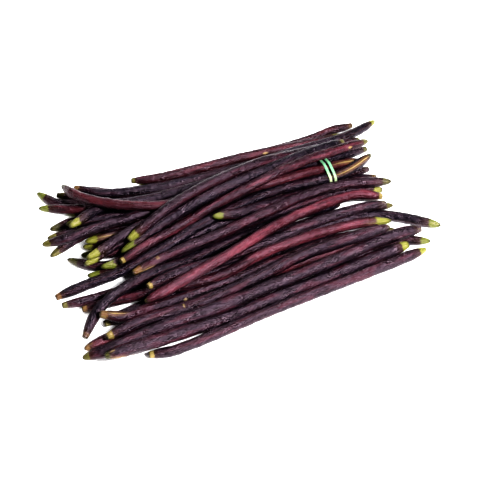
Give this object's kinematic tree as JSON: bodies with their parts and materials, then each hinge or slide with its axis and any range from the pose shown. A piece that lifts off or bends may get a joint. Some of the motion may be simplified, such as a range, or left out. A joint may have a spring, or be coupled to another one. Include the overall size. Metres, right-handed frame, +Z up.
{
  "type": "yardlong bean bunch",
  "caption": "Loose bunch of long purple yardlong beans lying in a flat heap, green tips together at one side, part of it held by a mint-green rubber band",
  "frame": {"origin": "centre of the bounding box in plan, on the surface the bunch lies on", "axes": "X runs the length of the bunch with the cluster of green tips at -X and the banded end at +X, Y goes from the front of the heap to its back, Z is up from the surface"},
  "size_m": [0.4098, 0.329, 0.0503],
  "materials": {
    "pod_purple": "satin skin, purple-black",
    "pod_dark": "satin skin, blue-black",
    "pod_maroon": "satin skin, maroon",
    "pod_red": "satin skin, crimson",
    "rubber": "matt mint-green rubber"
  },
  "bodies": {
    "root": {"pod_01": "pod_maroon", "pod_02": "pod_maroon", "pod_03": "pod_maroon", "pod_04": "pod_dark", "pod_05": "pod_purple", "pod_06": "pod_purple", "pod_07": "pod_purple", "pod_08": "pod_dark", "pod_09": "pod_maroon", "pod_10": "pod_maroon", "pod_11": "pod_purple", "pod_12": "pod_maroon", "pod_13": "pod_dark", "pod_14": "pod_purple", "pod_15": "pod_purple", "pod_16": "pod_maroon", "pod_17": "pod_purple", "pod_18": "pod_dark", "pod_19": "pod_purple", "pod_20": "pod_purple", "pod_21": "pod_purple", "pod_22": "pod_dark", "pod_23": "pod_dark", "pod_24": "pod_red", "pod_25": "pod_purple", "pod_26": "pod_purple", "pod_27": "pod_dark", "pod_28": "pod_dark", "pod_29": "pod_dark", "pod_30": "pod_maroon", "pod_31": "pod_purple", "pod_32": "pod_dark", "pod_33": "pod_maroon", "pod_34": "pod_purple", "pod_35": "pod_purple", "pod_36": "pod_purple", "pod_37": "pod_purple", "pod_38": "pod_purple", "pod_39": "pod_purple", "pod_40": "pod_red", "pod_41": "pod_purple", "pod_42": "pod_dark", "pod_43": "pod_red", "pod_44": "pod_purple", "pod_45": "pod_purple", "rubber_band": "rubber"}
  },
  "joints": []
}
